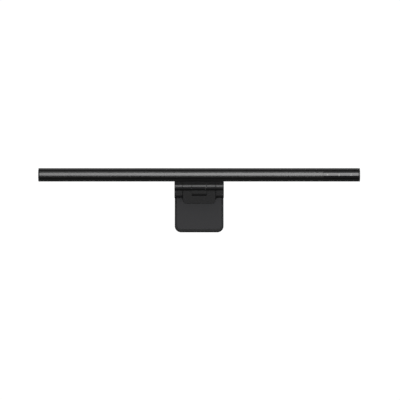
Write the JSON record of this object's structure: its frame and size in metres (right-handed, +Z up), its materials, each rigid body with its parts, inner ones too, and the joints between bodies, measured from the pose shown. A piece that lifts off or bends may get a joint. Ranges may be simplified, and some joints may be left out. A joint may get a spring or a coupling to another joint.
{
  "type": "monitor light bar",
  "caption": "Slim round lamp bar on a friction hinge, with a clip whose front lip and weighted, sprung rear leg hold it on a monitor's top edge.",
  "frame": {"origin": "on the underside of the clip's top pad, where it rests on the monitor's top edge, midway along the bar and 7.3 mm behind the tilt axis", "axes": "+X along the bar towards its touch keys, -Y the front, towards the person at the desk, +Z up"},
  "size_m": [0.45, 0.0576, 0.0901],
  "materials": {
    "black_anodised_tube": "satin black anodised extrusion",
    "moulded_black_plastic": "fine-textured black moulded plastic",
    "gloss_black_cover": "gloss black acrylic",
    "opal_diffuser": "frosted opal polycarbonate",
    "black_silicone": "matte black silicone",
    "carrier_aluminium": "mill-finish extrusion",
    "plated_steel": "nickel-plated steel",
    "black_steel": "black oxide steel",
    "white_board": "white solder mask",
    "white_reflector": "white reflector sheet",
    "green_board": "green solder mask",
    "amber_film": "amber polyimide film",
    "graphite_nylon": "graphite-filled nylon"
  },
  "bodies": {
    "clip": {"clip_body": "moulded_black_plastic", "lip_pad": "black_silicone", "top_pad": "black_silicone", "friction_disc_left": "graphite_nylon", "friction_disc_right": "graphite_nylon", "leg_pin": "plated_steel", "spring_sleeve": "graphite_nylon", "torsion_spring": "plated_steel"},
    "light_bar": {"bar_tube": "black_anodised_tube", "diffuser": "opal_diffuser", "end_cap_left": "moulded_black_plastic", "end_cap_right": "moulded_black_plastic", "led_carrier": "carrier_aluminium", "led_board": "white_board", "reflector": "white_reflector", "touch_cover": "gloss_black_cover", "touch_board": "green_board", "touch_flex": "amber_film", "driver_board": "green_board", "usb_shell": "plated_steel", "usb_tongue": "moulded_black_plastic", "usb_surround": "moulded_black_plastic", "neck_bracket": "moulded_black_plastic", "neck_screw_left": "black_steel", "neck_screw_right": "black_steel", "tilt_pin": "plated_steel", "tilt_spring_washer": "plated_steel", "tilt_nut": "plated_steel", "tilt_cap_left": "moulded_black_plastic", "tilt_cap_right": "moulded_black_plastic"},
    "rear_leg": {"leg_frame": "moulded_black_plastic", "counterweight": "plated_steel", "leg_cover": "moulded_black_plastic", "leg_pad": "black_silicone", "leg_screw_1": "black_steel", "leg_screw_2": "black_steel", "leg_screw_3": "black_steel", "leg_screw_4": "black_steel", "leg_pin_cap_left": "moulded_black_plastic", "leg_pin_cap_right": "moulded_black_plastic"}
  },
  "joints": [
    {"name": "bar_tilt", "type": "hinge", "parent": "clip", "child": "light_bar", "pos_m": [0, -0.0073, 0.018], "axis": [1, 0, 0], "range_deg": [-20, 30]},
    {"name": "leg_open", "type": "hinge", "parent": "clip", "child": "rear_leg", "pos_m": [0, 0.0167, 0.008], "axis": [1, 0, 0], "range_deg": [0, 60], "stiffness_Nm_per_rad": 0.05, "springref_deg": -40.11, "deforming": ["torsion_spring"]}
  ]
}
